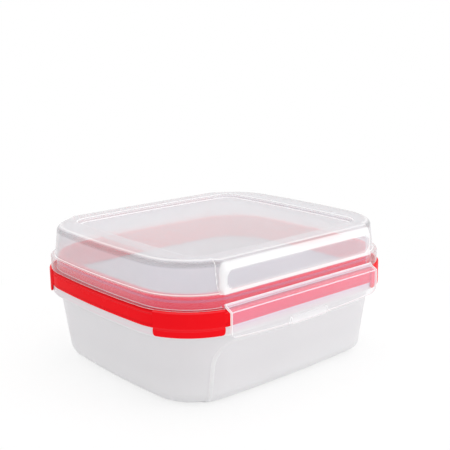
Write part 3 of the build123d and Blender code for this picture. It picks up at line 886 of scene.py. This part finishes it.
# %% Flap section
FLAP_HALF = 66.0
FLAP_OUT = 5.8  # how far the face stands out from the hinge line
END_ARC = 5.0  # radius of the lower corners
EDGE_BOW = 3.0  # rise of the lower edge from its middle to its ends
PLATE = 1.3
LIP_HALF, LIP_PROUD = 16.5, 1.15
BEAD_RADIUS = 0.8
flap_line = densify(rounded([
    (0.0, 0.0, 0),
    (FLAP_OUT, -3.0, 1.8),
    (FLAP_OUT, -11.5, 6.0),
    (5.3, -17.0, 6.0),
    (4.4, -22.2, 0),
], steps=8), 0.7)
step = np.linalg.norm(np.diff(flap_line, axis=0), axis=1)
flap_length = np.concatenate([[0], np.cumsum(step)])
print("flap's length along its face in mm:", round(flap_length[-1], 1))


def point_on(length):
    """The flap line's point at a length along it."""
    return np.stack([np.interp(length, flap_length, flap_line[:, k]) for k in (0, 1)], axis=-1)


def at(length):
    """Point and inward normal of the flap line at a length: the direction from 0.3 mm
    before to 0.3 mm after it, turned by a right angle."""
    along = point_on(length + 0.3) - point_on(length - 0.3)
    along /= np.linalg.norm(along, axis=-1, keepdims=True)
    return point_on(length), np.stack([along[..., 1], -along[..., 0]], axis=-1)


# %% A loop at each station
def flap_loops(x):
    """Closed section loops of the flap for an array of stations x, as (out, drop).

    The outer line is the flap line cut off short of its end: by EDGE_BOW * (x / half)^2,
    as the lower edge is bowed, and by an arc at the ends. The inner line is the same,
    moved by the plate's thickness along the line's normal. The thumb lip moves the outer
    line out near its end, and half an ellipse closes the lower edge.
    """
    from_end = FLAP_HALF - np.abs(x)
    in_arc = np.maximum(END_ARC - from_end, 0)
    short = END_ARC - np.sqrt(np.maximum(END_ARC**2 - in_arc**2, 0))
    short = short + EDGE_BOW * (x / FLAP_HALF) ** 2
    total = (flap_length[-1] - short)[:, None]
    share = np.linspace(0, 1, 52)[None, :] ** 0.9
    s = 0.8 + (total - 0.8) * share
    outer, inward = at(s)
    lip = LIP_PROUD * smoothstep(s, flap_length[-1] - 5.2, flap_length[-1] - 4.4)
    lip = lip * (1 - smoothstep(np.abs(x), LIP_HALF - 0.6, LIP_HALF + 0.6))[:, None]
    outer = outer - inward * lip[..., None]
    outer[..., 0] = np.minimum(outer[..., 0], FLAP_OUT)
    inner, inner_inward = at(1.1 + (total - 1.1) * (1 - share))
    inner = inner + inner_inward * PLATE

    first, last = outer[:, -1], inner[:, 0]
    middle, arm = (first + last) / 2, (first - last) / 2
    forward = np.stack([inner_inward[:, 0, 1], -inner_inward[:, 0, 0]], axis=-1)
    forward *= np.linalg.norm(arm, axis=-1, keepdims=True) * 0.5
    tip_angle = np.linspace(0, math.pi, 7)[1:-1]
    tip = middle[:, None] + arm[:, None] * np.cos(tip_angle)[None, :, None] \
        - forward[:, None] * np.sin(tip_angle)[None, :, None]

    round_bead = np.radians(np.linspace(-90, -331, 16))
    bead_arc = BEAD_RADIUS * np.stack([np.cos(round_bead), np.sin(round_bead)], axis=1)
    foot = np.array([[0.05, -1.45], [0.02, -1.1]])
    back = np.concatenate([foot, bead_arc])
    back = np.broadcast_to(back, (len(x), *back.shape))
    return np.concatenate([back, outer[:, 1:], tip, inner], axis=1)


# %% Stations, close together at the ends and beside the lip
stations = np.concatenate([
    [0.4, 0.9],
    np.linspace(0, 5, 10, endpoint=False),
    np.linspace(5, 48, 26, endpoint=False),
    np.linspace(48, 50, 8, endpoint=False),
    np.linspace(50, FLAP_HALF, 8, endpoint=False),
])
stations = np.concatenate([stations, 2 * FLAP_HALF - stations]) - FLAP_HALF
stations = np.unique(stations.round(4))
print("stations along a flap:", len(stations), "from", stations[0], "to", stations[-1])


# %% The two flaps
def flap_piece(name, side):
    """A flap on the front (side -1) or the back (side 1)."""
    loops = flap_loops(stations)
    x = np.broadcast_to(stations[:, None], loops.shape[:2])
    grid = np.stack([x, side * (HINGE_Y + loops[..., 0]), HINGE_Z + loops[..., 1]], axis=2)
    z = grid[..., 2]
    # Painted highlights: pale along the flap's ends and on its thumb lip
    painted_lip_highlight = 0.5 * (1 - smoothstep(np.abs(x), 16.2, 16.8)) * (1 - smoothstep(z, 49.2, 49.8))
    painted_end_highlight = smoothstep(np.abs(x), 64.9, 65.5)
    piece = skin(name, grid, ends="plane", flip=side > 0, pale=np.maximum(painted_end_highlight, painted_lip_highlight),
                 marks={"haze": 1 - smoothstep(z, 52.4, 53.6)})
    report(piece)
    return piece


front_flap = flap_piece("clear_front_flap", -1)
rear_flap = flap_piece("clear_rear_flap", 1)

# %% [markdown]
# ## Putting the pieces on the frame
# Every piece rides on the CAD body that it belongs to and stands for one of its solids.
# The four tabs are part of the frame's solid, so they ride along and replace nothing
# more. The hidden gasket keeps its CAD solid and only takes on the soft finish.

# %% Ride and replace
for piece, body, node, mat, slot in (
    (tub, "tub", "base_tray", milky, "milky_plastic"),
    (ring, "frame", "seal_frame", red, "red_plastic"),
    (bead, "frame", "upper_gasket", rubber, "gasket"),
    (lid, "lid", "dome_lid", clear, "clear_plastic"),
    (front_flap, "flap_front", "front_flap", flap_clear, "clear_plastic"),
    (rear_flap, "flap_rear", "rear_flap", flap_clear, "clear_plastic"),
):
    piece.data.materials.append(mat)
    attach(piece, body)
    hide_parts(node)
for tab in tabs:
    tab.data.materials.append(red)
    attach(tab, "frame")
hidden_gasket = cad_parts["lower_gasket"]
hidden_gasket.data.materials.clear()
hidden_gasket.data.materials.append(rubber)

# %% [markdown]
# ## Floor and light
# The container stands on a plain white floor under large soft lamps. The background is
# white to the camera and in reflections, while the light that it sheds is kept low. To
# the camera the floor near the container is a quarter paint, which shows a soft shadow,
# and three quarters plain white. Further out it fades to all white, so that no horizon
# shows.


# %% Background
def white_surround(tree, light_level):
    """Background that is plain white to the camera, to reflections and through clear
    plastic, and sheds light at light_level only."""
    nodes, links = tree.nodes, tree.links
    path = nodes.new("ShaderNodeLightPath")
    seen = nodes.new("ShaderNodeMath")
    seen.operation = "MAXIMUM"
    seen_or_clear = nodes.new("ShaderNodeMath")
    seen_or_clear.operation = "MAXIMUM"
    links.new(path.outputs["Is Camera Ray"], seen.inputs[0])
    links.new(path.outputs["Is Glossy Ray"], seen.inputs[1])
    links.new(seen.outputs[0], seen_or_clear.inputs[0])
    links.new(path.outputs["Is Transmission Ray"], seen_or_clear.inputs[1])
    level = nodes.new("ShaderNodeMapRange")
    level.inputs["To Min"].default_value = light_level
    level.inputs["To Max"].default_value = 1.0
    links.new(seen_or_clear.outputs[0], level.inputs["Value"])
    return level.outputs["Result"]


world = bpy.data.worlds.new("studio")
bpy.context.scene.world = world
world.use_nodes = True
background = world.node_tree.nodes["Background"]
background.inputs["Color"].default_value = (1, 1, 1, 1)
world.node_tree.links.new(white_surround(world.node_tree, 0.85), background.inputs["Strength"])

# %% Floor
FLOOR_HALF = 2.5  # metres
FLOOR_DROP = 0.0004  # keeps the floor from lying in the tub's underside
FADE_START, FADE_END = 0.12, 0.26  # metres from the middle
FADE_LEAST = 0.75  # share of plain white close to the container
corners = [(-1, -1, 0), (1, -1, 0), (1, 1, 0), (-1, 1, 0)]
floor_mesh = bpy.data.meshes.new("studio_floor")
floor_mesh.from_pydata((np.array(corners) * FLOOR_HALF).tolist(), [], [(0, 1, 2, 3)])
floor_mesh.transform(Matrix.Translation((0, 0, -FLOOR_DROP)))
floor = bpy.data.objects.new("studio_floor", floor_mesh)
bpy.context.scene.collection.objects.link(floor)

# %% Floor finish
floor_mat = bpy.data.materials.new("white_floor")
floor_mat.use_nodes = True
nodes, links = floor_mat.node_tree.nodes, floor_mat.node_tree.links
paint = nodes["Principled BSDF"]
paint.inputs["Base Color"].default_value = (0.97, 0.97, 0.97, 1)
paint.inputs["Roughness"].default_value = 0.9
paint.inputs["Specular IOR Level"].default_value = 0.0
plain_white = nodes.new("ShaderNodeEmission")
plain_white.inputs["Color"].default_value = (1, 1, 1, 1)
place = nodes.new("ShaderNodeTexCoord")
distance = nodes.new("ShaderNodeVectorMath")
distance.operation = "LENGTH"
fade = nodes.new("ShaderNodeMapRange")
fade.inputs["From Min"].default_value = FADE_START
fade.inputs["From Max"].default_value = FADE_END
fade.inputs["To Min"].default_value = FADE_LEAST
share = nodes.new("ShaderNodeMath")
share.operation = "MULTIPLY"
blend = nodes.new("ShaderNodeMixShader")
links.new(place.outputs["Object"], distance.inputs[0])
links.new(distance.outputs["Value"], fade.inputs["Value"])
links.new(fade.outputs["Result"], share.inputs[0])
links.new(white_surround(floor_mat.node_tree, 0.0), share.inputs[1])
links.new(share.outputs[0], blend.inputs["Fac"])
links.new(paint.outputs["BSDF"], blend.inputs[1])
links.new(plain_white.outputs["Emission"], blend.inputs[2])
links.new(blend.outputs["Shader"], nodes["Material Output"].inputs["Surface"])
floor.data.materials.append(floor_mat)


# %% Lamps
def soft_lamp(name, place, aim, size, watts):
    """A square area lamp at place, turned towards aim."""
    data = bpy.data.lights.new(name, "AREA")
    data.size = size
    data.energy = watts
    lamp = bpy.data.objects.new(name, data)
    bpy.context.scene.collection.objects.link(lamp)
    lamp.location = place
    lamp.rotation_euler = (Vector(aim) - Vector(place)).to_track_quat("-Z", "Y").to_euler()
    return lamp


middle_of_box = (0.0, 0.0, 0.05)
soft_lamp("overhead_softbox", (0.15, 0.1, 1.3), middle_of_box, 1.4, 5.0)
soft_lamp("right_softbox", (0.9, -1.1, 0.75), middle_of_box, 0.9, 4.0)

# %% [markdown]
# ## Camera
# The photograph's camera was worked out from the visible edges of the container: the
# way it looks, how it is rolled, how far away it stands and its focal length.

# %% Camera
AIM = Vector((0.009626, 0.0, 0.088479))
CAMERA_DISTANCE = 0.588571
to_camera = Vector((-0.6384, -0.7357, 0.2263)).normalized()
camera_right = Vector((0.75362, -0.65722, -0.01061)).normalized()
camera_up = to_camera.cross(camera_right).normalized()
camera_right = camera_up.cross(to_camera).normalized()
camera_data = bpy.data.cameras.new("camera")
camera_data.sensor_width = 36.0
camera_data.lens = 66.155
camera = bpy.data.objects.new("camera", camera_data)
bpy.context.scene.collection.objects.link(camera)
turned = Matrix((camera_right, camera_up, to_camera)).transposed().to_4x4()
camera.matrix_world = Matrix.Translation(AIM + to_camera * CAMERA_DISTANCE) @ turned
bpy.context.scene.camera = camera
bpy.context.scene.view_settings.view_transform = "Standard"

# %% The end
bpy.context.view_layer.update()
